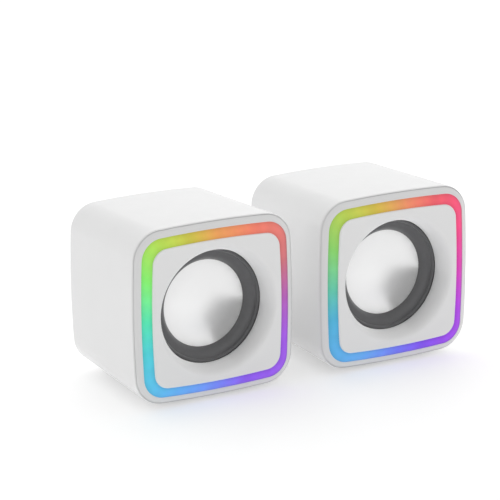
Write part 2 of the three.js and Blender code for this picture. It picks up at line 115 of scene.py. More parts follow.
def screen_colour(red: int, green: int, blue: int) -> Colour:
    """Turns a display colour into the linear one that a shader takes.

    Args:
        red: Red from 0 to 255.
        green: Green from 0 to 255.
        blue: Blue from 0 to 255.

    Returns:
        The linear colour with full alpha.
    """
    linear = [((c / 255 + 0.055) / 1.055) ** 2.4 if c > 10 else c / 255 / 12.92 for c in (red, green, blue)]
    return (linear[0], linear[1], linear[2], 1.0)


# ---- Finishes ----


class Graph:
    """A material's node tree, with short calls for the nodes that the finishes share."""

    def __init__(self, name: str) -> None:
        """Makes an empty material with a Principled shader.

        Args:
            name: The material's name.
        """
        self.material = bpy.data.materials.new(name)
        self.material.use_nodes = True
        self.tree = self.material.node_tree
        self.shader = next(n for n in self.tree.nodes if n.type == "BSDF_PRINCIPLED")
        self.place = self.add("ShaderNodeTexCoord").outputs["Object"]

    def add(self, kind: str, **settings: object) -> bpy.types.Node:
        """Adds a node and sets its properties.

        Args:
            kind: The node's type name.
            **settings: Properties of the node, by name.

        Returns:
            The new node.
        """
        node = self.tree.nodes.new(kind)
        for key, value in settings.items():
            setattr(node, key, value)
        return node

    def join(self, source: Socket, target: Socket) -> None:
        """Links one socket to another."""
        self.tree.links.new(source, target)

    def feed(self, socket: str, source: Socket) -> None:
        """Links a source to one of the shader's own sockets."""
        self.join(source, self.shader.inputs[socket])

    def constant(self, **values: object) -> None:
        """Sets the shader's own sockets, with underscores for the spaces in their names."""
        for key, value in values.items():
            self.shader.inputs[key.replace("_", " ")].default_value = value

    def noise(self, size: float, detail: float = 2.0, rough: float = 0.5) -> Socket:
        """Gives a noise whose grains are about a given size.

        Args:
            size: The grains' size in metres.
            detail: Octaves of finer grain.
            rough: How strongly the finer grain shows.

        Returns:
            The noise's value socket.
        """
        node = self.add("ShaderNodeTexNoise")
        self.join(self.place, node.inputs["Vector"])
        node.inputs["Scale"].default_value = 1 / size
        node.inputs["Detail"].default_value = detail
        node.inputs["Roughness"].default_value = rough
        return node.outputs["Fac"]

    def remap(self, source: Socket, low: float, high: float) -> Socket:
        """Stretches a 0.3 to 0.7 noise value over a range.

        Args:
            source: The value to stretch.
            low: The result at 0.3.
            high: The result at 0.7.

        Returns:
            The stretched value.
        """
        node = self.add("ShaderNodeMapRange")
        self.join(source, node.inputs["Value"])
        node.inputs["From Min"].default_value = 0.3
        node.inputs["From Max"].default_value = 0.7
        node.inputs["To Min"].default_value = low
        node.inputs["To Max"].default_value = high
        return node.outputs["Result"]

    def mix(self, share: Socket, first: Colour, second: Colour) -> Socket:
        """Mixes two colours by a varying share and gives the result's socket."""
        node = self.add("ShaderNodeMix", data_type="RGBA")
        self.join(share, node.inputs[0])
        node.inputs[6].default_value = first
        node.inputs[7].default_value = second
        return node.outputs[2]

    def math(self, operation: str, first: object, second: object = None) -> Socket:
        """Adds a Math node whose operands are sockets or numbers.

        Args:
            operation: The node's operation, such as MULTIPLY.
            first: The first operand.
            second: The second operand, where there is one.

        Returns:
            The result's socket.
        """
        node = self.add("ShaderNodeMath", operation=operation)
        for socket, value in zip(node.inputs, (first, second)):
            if isinstance(value, Socket):
                self.join(value, socket)
            elif value is not None:
                socket.default_value = value
        return node.outputs[0]

    def ramp(self, share: Socket, stops: Stops) -> Socket:
        """Colours a value by a list of stops.

        Args:
            share: The value, from 0 to 1.
            stops: Places from 0 to 1 with their colours, in order.

        Returns:
            The colour's socket.
        """
        node = self.add("ShaderNodeValToRGB")
        elements = node.color_ramp.elements
        for i, (place, colour) in enumerate(stops):
            element = elements[i] if i < 2 else elements.new(place)
            element.position = place
            element.color = colour
        self.join(share, node.inputs[0])
        return node.outputs["Color"]

    def bump(self, height: Socket, depth: float, strength: float = 1.0) -> None:
        """Roughens the surface by a height.

        Args:
            height: The height's socket, from 0 to 1.
            depth: What a height of 1 measures, in metres.
            strength: How strongly the bump shows.
        """
        node = self.add("ShaderNodeBump")
        node.inputs["Strength"].default_value = strength
        node.inputs["Distance"].default_value = depth
        self.join(height, node.inputs["Height"])
        self.feed("Normal", node.outputs["Normal"])


@dataclass(frozen=True)
class Finish:
    """What every finish shares: one material, made at its first use."""

    name: str
    slot: Slot

    def draw(self, graph: Graph) -> None:
        """Fills the material's graph; each finish has its own."""
        raise NotImplementedError

    def material(self) -> bpy.types.Material:
        """Gives the finish's material, making it if it isn't there yet."""
        found = bpy.data.materials.get(self.name)
        if found is None:
            graph = Graph(self.name)
            self.draw(graph)
            found = graph.material
        return found


@dataclass(frozen=True)
class MouldedPlastic(Finish):
    """Injection-moulded plastic with a fine spark-eroded grain and slightly uneven gloss."""

    colour: Colour
    tint: Colour
    roughness: float
    coat: float = 0.0
    grain: float = 0.25 * MM
    grain_depth: float = 0.004 * MM

    def draw(self, graph: Graph) -> None:
        """Draws slow tone changes, uneven gloss and the mould's grain."""
        tone = graph.noise(18 * MM, 3.0)
        graph.feed("Base Color", graph.mix(tone, self.colour, self.tint))
        gloss = graph.remap(graph.noise(4 * MM, 4.0, 0.6), self.roughness - 0.04, self.roughness + 0.05)
        graph.feed("Roughness", gloss)
        graph.constant(IOR=1.5, Coat_Weight=self.coat, Coat_Roughness=0.18)
        graph.bump(graph.noise(self.grain, 2.0), self.grain_depth, 0.6)


@dataclass(frozen=True)
class Rubber(Finish):
    """Moulded rubber: matt, a little dusty, with a soft sheen at its edges."""

    colour: Colour
    worn: Colour
    roughness: float = 0.52
    sheen: float = 0.25

    def draw(self, graph: Graph) -> None:
        """Draws a faint bloom over a fine pebbled skin."""
        bloom = graph.noise(3 * MM, 5.0, 0.65)
        graph.feed("Base Color", graph.mix(bloom, self.colour, self.worn))
        gloss = graph.remap(graph.noise(1.2 * MM, 3.0), self.roughness - 0.06, self.roughness + 0.08)
        graph.feed("Roughness", gloss)
        graph.constant(IOR=1.48, Sheen_Weight=self.sheen, Sheen_Roughness=0.4)
        graph.bump(graph.noise(0.18 * MM, 2.0), 0.006 * MM, 0.7)


@dataclass(frozen=True)
class SatinMetal(Finish):
    """Spun or drawn metal with fine rings round its axis."""

    colour: Colour
    tint: Colour
    roughness: float
    metallic: float = 1.0
    ring_pitch: float = 0.22 * MM
    ring_depth: float = 0.0012 * MM

    def draw(self, graph: Graph) -> None:
        """Draws the spun rings, a breath of tone and uneven gloss."""
        tone = graph.noise(7 * MM, 3.0)
        graph.feed("Base Color", graph.mix(tone, self.colour, self.tint))
        gloss = graph.remap(graph.noise(2 * MM, 4.0, 0.6), self.roughness - 0.03, self.roughness + 0.04)
        graph.feed("Roughness", gloss)
        graph.constant(Metallic=self.metallic, IOR=1.6)
        parts = graph.add("ShaderNodeSeparateXYZ")
        graph.join(graph.place, parts.inputs[0])
        across = graph.math("POWER", parts.outputs["X"], 2.0)
        up = graph.math("POWER", parts.outputs["Z"], 2.0)
        radius = graph.math("SQRT", graph.math("ADD", across, up))
        phase = graph.math("MULTIPLY", radius, math.tau / self.ring_pitch)
        wave = graph.math("SINE", phase)
        half = graph.math("MULTIPLY", wave, 0.5)
        graph.bump(graph.math("ADD", half, graph.noise(0.3 * MM, 2.0)), self.ring_depth, 0.5)


@dataclass(frozen=True)
class RainbowLight(Finish):
    """A translucent diffuser lit from behind, whose colour runs round the ring."""

    stops: Stops
    strength: float
    edge_glow: float = 0.86
    middle_glow: float = 1.08
    body_share: float = 0.12

    def draw(self, graph: Graph) -> None:
        """Draws the running colour, brighter along the middle where the lamps are, in a glossy diffuser."""
        parts = graph.add("ShaderNodeSeparateXYZ")
        graph.join(graph.place, parts.inputs[0])
        angle = graph.math("ARCTAN2", parts.outputs["Z"], parts.outputs["X"])
        turn = graph.math("DIVIDE", angle, math.tau)
        wrapped = graph.math("FRACT", graph.math("ADD", turn, 1.0))
        colour = graph.ramp(wrapped, self.stops)
        cloudy = graph.remap(graph.noise(5 * MM, 2.0), 0.94, 1.06)
        across = graph.add("ShaderNodeAttribute", attribute_name=ACROSS).outputs["Fac"]
        sway = graph.math("SUBTRACT", graph.math("MULTIPLY", across, 2.0), 1.0)
        off_middle = graph.math("MULTIPLY", sway, sway)
        fall = graph.math("MULTIPLY", off_middle, self.middle_glow - self.edge_glow)
        level = graph.math("MULTIPLY", graph.math("SUBTRACT", self.middle_glow, fall), cloudy)
        glow = graph.add("ShaderNodeMix", data_type="RGBA", blend_type="MULTIPLY")
        glow.inputs[0].default_value = 1.0
        graph.join(colour, glow.inputs[6])
        graph.join(level, glow.inputs[7])
        graph.feed("Emission Color", glow.outputs[2])
        body = graph.add("ShaderNodeMix", data_type="RGBA", blend_type="MULTIPLY")
        body.inputs[0].default_value = 1.0
        body.inputs[7].default_value = grey(self.body_share)
        graph.join(colour, body.inputs[6])
        graph.feed("Base Color", body.outputs[2])
        graph.constant(Emission_Strength=self.strength, Roughness=0.4, IOR=1.3)
        graph.bump(graph.noise(0.5 * MM, 2.0), 0.004 * MM, 0.4)


@dataclass(frozen=True)
class PressedPaper(Finish):
    """Felted paper or cloth with fibres that lie every way."""

    colour: Colour
    fibre: Colour
    weave: float

    def draw(self, graph: Graph) -> None:
        """Draws the fibres as stretched noise in colour and height."""
        fibres = graph.noise(self.weave, 6.0, 0.75)
        graph.feed("Base Color", graph.mix(fibres, self.colour, self.fibre))
        graph.feed("Roughness", graph.remap(fibres, 0.75, 0.95))
        graph.constant(Sheen_Weight=0.2)
        graph.bump(fibres, 0.03 * MM)


@dataclass(frozen=True)
class Winding(Finish):
    """Enamelled wire wound in close turns along the voice coil."""

    colour: Colour
    gap_colour: Colour
    wire: float = 0.16 * MM

    def draw(self, graph: Graph) -> None:
        """Draws the turns as a wave along the coil's axis."""
        parts = graph.add("ShaderNodeSeparateXYZ")
        graph.join(graph.place, parts.inputs[0])
        phase = graph.math("MULTIPLY", parts.outputs["Y"], math.tau / self.wire)
        turns = graph.math("ADD", graph.math("MULTIPLY", graph.math("SINE", phase), 0.5), 0.5)
        graph.feed("Base Color", graph.mix(turns, self.gap_colour, self.colour))
        gloss = graph.remap(graph.noise(1 * MM), 0.25, 0.4)
        graph.feed("Roughness", gloss)
        graph.constant(Metallic=0.9)
        graph.bump(turns, 0.05 * MM)


@dataclass(frozen=True)
class SolderMask(Finish):
    """A circuit board's lacquer with tracks under it."""

    colour: Colour
    track: Colour

    def draw(self, graph: Graph) -> None:
        """Draws cell-edged tracks under a glossy lacquer."""
        cells = graph.add("ShaderNodeTexVoronoi", feature="DISTANCE_TO_EDGE", distance="MANHATTAN")
        graph.join(graph.place, cells.inputs["Vector"])
        cells.inputs["Scale"].default_value = 1 / (3 * MM)
        edge = graph.math("LESS_THAN", cells.outputs["Distance"], 0.12)
        graph.feed("Base Color", graph.mix(edge, self.colour, self.track))
        graph.feed("Roughness", graph.remap(graph.noise(2 * MM), 0.3, 0.42))
        graph.constant(Coat_Weight=0.4, Coat_Roughness=0.15)
        graph.bump(edge, 0.03 * MM)


@dataclass(frozen=True)
class Ferrite(Finish):
    """Sintered magnet ceramic, ground dull, with light specks."""

    colour: Colour
    speck: Colour

    def draw(self, graph: Graph) -> None:
        """Draws specks and the grinding's fine grain."""
        specks = graph.math("GREATER_THAN", graph.noise(0.4 * MM, 3.0), 0.66)
        graph.feed("Base Color", graph.mix(specks, self.colour, self.speck))
        graph.feed("Roughness", graph.remap(graph.noise(1.5 * MM, 3.0), 0.55, 0.75))
        graph.bump(graph.noise(0.2 * MM, 3.0), 0.02 * MM)


SHELL_WHITE = MouldedPlastic("white_shell_plastic", Slot.SHELL, grey(0.79), grey(0.82), 0.34, 0.25)
# The bezel's white is the shell's white made darker: painted shade on the bezel's sloping face.
SHADED_BEZEL_WHITE = MouldedPlastic("white_bezel_plastic_painted_shade", Slot.SHELL, grey(0.72), grey(0.75), 0.36, 0.2)
FASCIA_WHITE = MouldedPlastic("pale_fascia_plastic", Slot.FASCIA, grey(0.79), grey(0.82), 0.42)
RUBBER_GREY = Rubber(
    "grey_surround_rubber", Slot.RUBBER, screen_colour(84, 84, 85), screen_colour(94, 94, 96))
FOOT_RUBBER = Rubber("dark_foot_rubber", Slot.FOOT, grey(0.035), grey(0.06), 0.7, 0.1)
DOME_SILVER = SatinMetal("silver_dome", Slot.DOME, grey(0.87), grey(0.90), 0.44, 0.8)
ZINC = SatinMetal("zinc_plated_steel", Slot.ZINC, grey(0.55), (0.60, 0.61, 0.58, 1.0), 0.35)
SCREW_STEEL = SatinMetal("screw_steel", Slot.SCREW, grey(0.42), grey(0.5), 0.3)
CONE_BLACK = PressedPaper("black_cone_paper", Slot.CONE, grey(0.025), grey(0.06), 0.5 * MM)
SPIDER_CLOTH = PressedPaper(
    "amber_spider_cloth", Slot.CLOTH, (0.5, 0.3, 0.1, 1.0), (0.66, 0.45, 0.2, 1.0), 0.4 * MM)
COPPER = Winding("copper_winding", Slot.COPPER, (0.72, 0.32, 0.16, 1.0), (0.2, 0.07, 0.03, 1.0))
GREEN_BOARD = SolderMask("green_board", Slot.BOARD, (0.01, 0.12, 0.05, 1.0), (0.04, 0.22, 0.09, 1.0))
FERRITE = Ferrite("magnet_ferrite", Slot.FERRITE, grey(0.03), grey(0.12))


def rainbow(hues: Sequence[tuple[int, tuple[int, int, int]]]) -> Stops:
    """Turns angles and display colours into the stops of a closed run.

    Args:
        hues: Degrees round the ring from its right-hand side, with the colour there.

    Returns:
        Stops from 0 to 1 that end on the colour that they begin with.
    """
    stops = [(degrees / 360, screen_colour(*colour)) for degrees, colour in hues]
    return (*stops, (1.0, stops[0][1]))


LEFT_LIGHT = RainbowLight("rainbow_light_left", Slot.RING, rainbow([
    (0, (176, 92, 182)), (28, (204, 112, 120)), (60, (242, 128, 106)), (90, (232, 160, 88)),
    (108, (206, 190, 72)), (128, (186, 222, 84)), (152, (134, 242, 112)), (180, (86, 228, 176)),
    (203, (80, 208, 216)), (240, (98, 174, 244)), (270, (116, 134, 246)), (292, (138, 90, 238)),
    (330, (158, 84, 228)),
]), 0.82)

RIGHT_LIGHT = RainbowLight("rainbow_light_right", Slot.RING, rainbow([
    (0, (214, 52, 176)), (30, (242, 66, 130)), (60, (240, 100, 108)), (80, (236, 140, 104)),
    (108, (210, 184, 72)), (128, (188, 208, 82)), (152, (136, 210, 106)), (180, (98, 196, 166)),
    (203, (80, 176, 214)), (240, (100, 170, 240)), (270, (112, 118, 242)), (292, (128, 82, 238)),
    (330, (172, 56, 224)),
]), 0.82)


# ---- Meshes ----


def spin(angle: float) -> np.ndarray:
    """Gives the matrix that turns rows of flat points by an angle in radians."""
    return np.array([[math.cos(angle), math.sin(angle)], [-math.sin(angle), math.cos(angle)]])


def bulged_square(half: float, bow: float, corner: float, side_steps: int = 20,
                  corner_steps: int = 14) -> np.ndarray:
    """Draws a square whose sides are shallow arcs tangent to its round corners.

    Args:
        half: Half of the full width.
        bow: Radius of the sides.
        corner: Radius of the corners.
        side_steps: Points along a side.
        corner_steps: Points along a corner.

    Returns:
        The outline's points, counter-clockwise, one row each.
    """
    offset = bow - half
    centre = (math.sqrt(2 * (bow - corner) ** 2 - offset**2) - offset) / 2
    spread = math.atan2(centre, centre + offset)
    side = np.linspace(-spread, spread, side_steps, endpoint=False)
    bend = np.linspace(spread, math.pi / 2 - spread, corner_steps, endpoint=False)
    along = np.c_[bow * np.cos(side) - offset, bow * np.sin(side)]
    around = np.c_[centre + corner * np.cos(bend), centre + corner * np.sin(bend)]
    quarter = np.vstack([along, around])
    return np.vstack([quarter @ spin(angle) for angle in np.arange(4) * math.pi / 2])


def at_depth(outline: np.ndarray, depth: float, scale: float = 1.0) -> np.ndarray:
    """Places a flat outline at a depth behind the light's outer edge.

    Args:
        outline: Points across and up.
        depth: Metres behind the light's outer edge.
        scale: Factor on the outline's size.

    Returns:
        Points in a speaker's own axes.
    """
    return np.c_[outline[:, 0] * scale, np.full(len(outline), depth), outline[:, 1] * scale]


def circle(radius: float, depth: float, angles: np.ndarray) -> np.ndarray:
    """Gives points round the driver's axis at given angles."""
    return np.c_[radius * np.cos(angles), np.full(len(angles), depth), radius * np.sin(angles)]


def quarter_round(centre: Point, radius: float, start: float, end: float, steps: int) -> Profile:
    """Gives the points of an arc in a section.

    Args:
        centre: The arc's centre, as radius or inset, and depth.
        radius: The arc's radius.
        start: The first angle in degrees.
        end: The last angle in degrees.
        steps: Number of steps between them.

    Returns:
        The arc's points, first and last included.
    """
    angles = np.radians(np.linspace(start, end, steps + 1))
    return [(centre[0] + radius * math.cos(a), centre[1] + radius * math.sin(a)) for a in angles]


def add_object(name: str, data: bpy.types.ID) -> Item:
    """Puts a new object with the given data in the scene.

    Args:
        name: The object's name.
        data: Its mesh, light or camera.

    Returns:
        The object.
    """
    item = bpy.data.objects.new(name, data)
    bpy.context.scene.collection.objects.link(item)
    return item


class Ends(Enum):
    """How a run of rings is closed."""

    LOOP = "the last ring joins the first"
    CAPS = "both ends get a flat cap"


def skin(name: str, rings: Sequence[np.ndarray], ends: Ends) -> Item:
    """Covers a run of equal rings with quads and closes it.

    Args:
        name: The new object's name.
        rings: Rings of points, each with the same number of them.
        ends: How the run is closed.

    Returns:
        A closed mesh object whose faces point out.
    """
    mesh = bpy.data.meshes.new(name)
    work = bmesh.new()
    rows = [[work.verts.new(point) for point in ring] for ring in rings]
    pairs = list(zip(rows, rows[1:]))
    if ends is Ends.LOOP:
        pairs.append((rows[-1], rows[0]))
    count = len(rows[0])
    for first, second in pairs:
        for i in range(count):
            j = (i + 1) % count
            work.faces.new((first[i], first[j], second[j], second[i]))
    if ends is Ends.CAPS:
        work.faces.new(rows[0])
        work.faces.new(rows[-1])
    bmesh.ops.remove_doubles(work, verts=work.verts, dist=1e-7)
    bmesh.ops.dissolve_degenerate(work, edges=work.edges, dist=1e-8)
    bmesh.ops.recalc_face_normals(work, faces=work.faces)
    work.to_mesh(mesh)
    work.free()
    return add_object(name, mesh)


def turn(name: str, profile: Profile, steps: int = 96, centre: Point = (0.0, 0.0)) -> Item:
    """Turns a section about an axis that runs in depth.

    Args:
        name: The new object's name.
        profile: Points as radius and depth: from axis to axis, or a closed section off the axis.
        steps: Points round the axis.
        centre: Where the axis stands, across and up.

    Returns:
        The turned solid.
    """
    angles = np.linspace(0, math.tau, steps, endpoint=False)
    shift = np.array([centre[0], 0.0, centre[1]])
    on_axis = profile[0][0] == 0
    rings = [circle(radius, depth, angles) + shift for radius, depth in profile]
    return skin(name, rings, Ends.CAPS if on_axis else Ends.LOOP)


def rod(name: str, radius: float, front: float, back: float, centre: Point = (0.0, 0.0),
        steps: int = 32) -> Item:
    """Makes a plain round bar between two depths, for use as a cutter or a post."""
    return turn(name, [(0.0, front), (radius, front), (radius, back), (0.0, back)], steps, centre)


class Cut(Enum):
    """What a helper solid does to a piece."""

    JOIN = "UNION"
    REMOVE = "DIFFERENCE"


def combine(item: Item, helpers: Iterable[Item], cut: Cut) -> Item:
    """Joins helper solids to a piece or cuts them out of it, and deletes them.

    Args:
        item: The piece to change.
        helpers: The helper solids.
        cut: Whether they are joined or removed.

    Returns:
        The changed piece.
    """
    helpers = list(helpers)
    for helper in helpers:
        modifier = item.modifiers.new("combine", "BOOLEAN")
        modifier.operation = cut.value
        modifier.solver = "EXACT"
        modifier.object = helper
    bpy.context.view_layer.update()
    graph = bpy.context.evaluated_depsgraph_get()
    result = bpy.data.meshes.new_from_object(item.evaluated_get(graph))
    old = item.data
    item.modifiers.clear()
    item.data = result
    result.name = item.name
    bpy.data.meshes.remove(old)
    for helper in helpers:
        spare = helper.data
        bpy.data.objects.remove(helper)
        bpy.data.meshes.remove(spare)
    return item


def smooth(item: Item, sharp_degrees: float) -> None:
    """Shades a piece smoothly, with its hard edges kept and its flats truly flat.

    Args:
        item: The piece.
        sharp_degrees: Edges that bend more than this stay hard.
    """
    item.data.shade_smooth()
    item.data.set_sharp_from_angle(angle=math.radians(sharp_degrees))
    modifier = item.modifiers.new("flat_faces", "WEIGHTED_NORMAL")
    modifier.keep_sharp = True
    modifier.weight = 80


# ---- Places taken from the frame ----

RIM_FRONT = 1.3 * MM


@dataclass(frozen=True)
class Place:
    """Where one speaker stands: the middle of the plane of its light's outer edge, and its main sizes."""

    side: Side
    centre: Vector
    half: float
    depth: float
    bottom: float

    @classmethod
    def of(cls, side: Side) -> "Place":
        """Reads a speaker's place from the frame.

        Args:
            side: Which speaker.

        Returns:
            Its place.
        """
        low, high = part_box(side.node("cabinet"))
        ring_low, ring_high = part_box(side.node("light_ring"))
        foot_low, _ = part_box(side.node("foot_1"))
        centre = Vector(((low.x + high.x) / 2, low.y - RIM_FRONT, (ring_low.z + ring_high.z) / 2))
        return cls(side, centre, (high.x - low.x) / 2, high.y - centre.y, foot_low.z - centre.z)

    def node(self, piece: str) -> str:
        """Gives the frame's name of this speaker's piece."""
        return self.side.node(piece)

    def local(self, point: Vector) -> Vector:
        """Gives a row-frame point in this speaker's own axes."""
        return point - self.centre

    def span(self, node: str) -> Point:
        """Gives how far behind the light's outer edge a node starts and ends."""
        low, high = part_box(node)
        return low.y - self.centre.y, high.y - self.centre.y

    def depths(self, piece: str) -> Point:
        """Gives the span of this speaker's own piece."""
        return self.span(self.node(piece))

    def radius(self, node: str) -> float:
        """Gives a round node's radius."""
        low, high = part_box(node)
        return (high.x - low.x) / 2

    def axis(self, node: str) -> Point:
        """Gives where a round node's axis stands, across and up from the driver's axis."""
        low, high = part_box(node)
        middle = self.local((low + high) / 2)
        return middle.x, middle.z


def fit(item: Item, place: Place, finish: Finish, node: str, body: str = "",
        sharp_degrees: float = SHARP_DEGREES) -> Item:
    """Puts a finished piece on its speaker, dresses it and hides the frame's node that it replaces.

    Args:
        item: A piece in the speaker's own axes.
        place: The speaker's place.
        finish: Its finish.
        node: The frame's node that it replaces.
        body: The body that it moves with, if that isn't the cabinet's.
        sharp_degrees: Edges that bend more than this stay hard.

    Returns:
        The piece.
    """
    body = body or place.side.case
    item.location = place.centre
    smooth(item, sharp_degrees)
    item.data.materials.clear()
    item.data.materials.append(finish.material())
    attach(item, body)
    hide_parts(node)
    LOG.info("%s: %d faces, %s, rides on %s", item.name, len(item.data.polygons), finish.name, body)
    return item


# ---- Sub-assemblies ----


@dataclass(frozen=True)
class Outline:
    """A bulged square: half width, radius of the sides and radius of the corners."""

    half: float
    bow: float
    corner: float

    def inset(self, distance: float) -> np.ndarray:
        """Gives the outline's points, moved inwards by a distance."""
        return bulged_square(self.half - distance, self.bow - distance, self.corner - distance)


LIGHT_OUTER = Outline(31.75 * MM, 450 * MM, 8.6 * MM)
LIGHT_INNER = Outline(28.0 * MM, 350 * MM, 6.2 * MM)
SHELL_BOW = 450 * MM
SHELL_CORNER = 11.9 * MM
RIM = 0.38 * MM
SEAM = 0.3 * MM
SEAM_DEPTH = 0.4 * MM


@dataclass
class Enclosure:
    """The cabinet with its feet, cable glands and case screws."""

    place: Place
    edge: float = 1.0 * MM
    back_edge: float = 1.6 * MM
    wall: float = 2.0 * MM
    draft: float = 0.05
    post_radius: float = 4.2 * MM
    bore_chamfer: float = 0.45 * MM
    bore_radius: float = 1.7 * MM
    bore_front: float = 12 * MM
    screw_height: float = 2.0 * MM
    head_room: float = 0.3 * MM
    foot_gap: float = 0.2 * MM
    gland_hole: float = 3.4 * MM
    control_hole: float = 3.6 * MM
    outline: Outline = field(init=False)

    def __post_init__(self) -> None:
        """Draws the outline to the cabinet's width in the frame."""
        self.outline = Outline(self.place.half, SHELL_BOW, SHELL_CORNER)

    def scale(self, depth: float) -> float:
        """Gives how much the draft has narrowed the cabinet at a depth."""
        return 1 - self.draft * depth / self.place.depth

    def ring(self, inset: float, depth: float, drafted: bool = True) -> np.ndarray:
        """Gives the cabinet's outline at a depth, moved inwards by a distance."""
        return at_depth(self.outline.inset(inset), depth, self.scale(depth) if drafted else 1.0)

    def shell(self) -> Item:
        """Builds the tub: pocket, rounded rim, drafted sides, rounded back, and its bores and holes.

        Returns:
            The cabinet.
        """
        depth = self.place.depth
        plate_back = self.place.depths("driver_baffle")[1]
        ledge = self.place.depths("surround")[0]
        rear = depth - self.wall - 0.2 * MM
        cut_off = 180 + math.degrees(math.acos((self.edge - RIM) / self.edge))
        front_arc = quarter_round((self.edge, RIM_FRONT + self.edge), self.edge, cut_off, 180, 8)
        lip = front_arc[0][1]
        back_arc = quarter_round((self.back_edge, depth - self.back_edge), self.back_edge, 180, 90, 8)
        rings = [
            self.ring(self.wall, rear),
            self.ring(self.wall, ledge),
            self.ring(RIM + SEAM / 2, ledge, False),
            self.ring(RIM + SEAM / 2, lip + SEAM_DEPTH, False),
            self.ring(RIM + SEAM / 4, lip + SEAM_DEPTH / 3, False),
            *[self.ring(inset, y) for inset, y in front_arc],
            *[self.ring(0.0, y) for y in np.linspace(RIM_FRONT + self.edge, depth - self.back_edge, 8)[1:-1]],
            *[self.ring(inset, y) for inset, y in back_arc],
        ]
        item = skin(self.place.node("cabinet_shell"), rings, Ends.CAPS)
        combine(item, self.posts(rear, plate_back), Cut.JOIN)
        combine(item, [*self.bores(), *self.recesses(), *self.holes()], Cut.REMOVE)
        return fit(item, self.place, SHELL_WHITE, self.place.node("cabinet"))

    def screw_axes(self) -> list[Point]:
        """Gives where the four case screws stand."""
        return [self.place.axis(self.place.node(f"case_screw_{i}")) for i in range(1, 5)]

    def posts(self, rear: float, front: float) -> list[Item]:
        """Makes the posts that the case screws pass through."""
        return [rod("post", self.post_radius, front + 0.3 * MM, rear + 1 * MM, axis)
                for axis in self.screw_axes()]

    def bores(self) -> list[Item]:
        """Makes the cutters of the screws' counterbores and clearance holes."""
        node = self.place.node("case_screw_1")
        radius = self.place.radius(node) + self.head_room
        seat = self.place.span(node)[1] - self.screw_height - self.head_room
        back = self.place.depth
        chamfer = self.bore_chamfer
        head = [
            (0.0, seat),
            (radius, seat),
            (radius, back - chamfer),
            (radius + chamfer + 1 * MM, back + 1 * MM),
            (0.0, back + 1 * MM),
        ]
        cutters = []
        for axis in self.screw_axes():
            cutters.append(turn("bore", head, 48, axis))
            cutters.append(rod("bore", self.bore_radius, self.bore_front, seat + 1 * MM, axis))
        return cutters

    def feet_axes(self) -> list[tuple[float, float, float]]:
        """Gives each foot's place across, its depth and its top."""
        found = []
        for i in range(1, 5):
            low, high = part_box(self.place.node(f"foot_{i}"))
            middle = self.place.local((low + high) / 2)
            found.append((middle.x, middle.y, self.place.local(high).z))
        return found

    def recesses(self) -> list[Item]:
        """Makes the cutters of the shallow recesses that the feet sit in."""
        cutters = []
        for x, depth, top in self.feet_axes():
            radius = self.place.radius(self.place.node("foot_1")) + self.foot_gap
            bottom, roof = self.place.bottom - 1 * MM, top + self.foot_gap
            profile = [(0.0, bottom), (radius, bottom), (radius, roof), (0.0, roof)]
            cutters.append(upright("recess", profile, x, depth))
        return cutters

    def holes(self) -> list[Item]:
        """Makes the cutters of the glands' holes and the volume control's."""
        cutters = []
        front = self.place.depth - 4 * MM
        back = self.place.depth + 1 * MM
        for node in self.glands():
            cutters.append(rod("hole", self.gland_hole, front, back, self.place.axis(node), 48))
        if self.place.side is Side.RIGHT:
            cutters.append(rod("hole", self.control_hole, front, back, self.place.axis("pot_nut"), 48))
        return cutters

    def glands(self) -> list[str]:
        """Names the cable glands in this cabinet's rear wall."""
        if self.place.side is Side.LEFT:
            return ["left_grommet"]
        return ["right_link_grommet", "right_supply_grommet"]

    def foot(self, index: int) -> Item:
        """Builds a rubber foot with a rounded tread edge.

        Args:
            index: The foot's number in the frame.

        Returns:
            The foot.
        """
        x, depth, top = self.feet_axes()[index - 1]
        node = self.place.node(f"foot_{index}")
        bottom, radius, edge = self.place.bottom, self.place.radius(node), 0.5 * MM
        arc = quarter_round((radius - edge, bottom + edge), edge, 270, 360, 5)
        profile = [(0.0, bottom), *arc, (radius, top), (0.0, top)]
        item = upright(self.place.node(f"rubber_foot_{index}"), profile, x, depth, 48)
        return fit(item, self.place, FOOT_RUBBER, node)

    def gland(self, node: str) -> Item:
        """Builds a rubber gland that grips the rear wall.

        Args:
            node: The gland's node in the frame.

        Returns:
            The gland.
        """
        front, back = self.place.span(node)
        radius = self.place.radius(node)
        neck = self.gland_hole - 0.1 * MM
        bore = 2.0 * MM
        wall_front = self.place.depth - 2.2 * MM
        wall_back = self.place.depth
        lip = (back - wall_back) / 2
        dome = quarter_round((radius - lip, back - lip), lip, 0, 90, 6)
        mouth = quarter_round((bore + 0.4 * MM, back - 0.4 * MM), 0.4 * MM, 90, 180, 4)
        profile = [
            (bore, front),
            (radius, front),
            (radius, wall_front - 0.05 * MM),
            (neck, wall_front - 0.05 * MM),
            (neck, wall_back + 0.02 * MM),
            (radius, wall_back + 0.02 * MM),
            *dome,
            *mouth,
        ]
        item = turn(f"{node}_rubber", profile, 64, self.place.axis(node))
        return fit(item, self.place, FOOT_RUBBER, node)

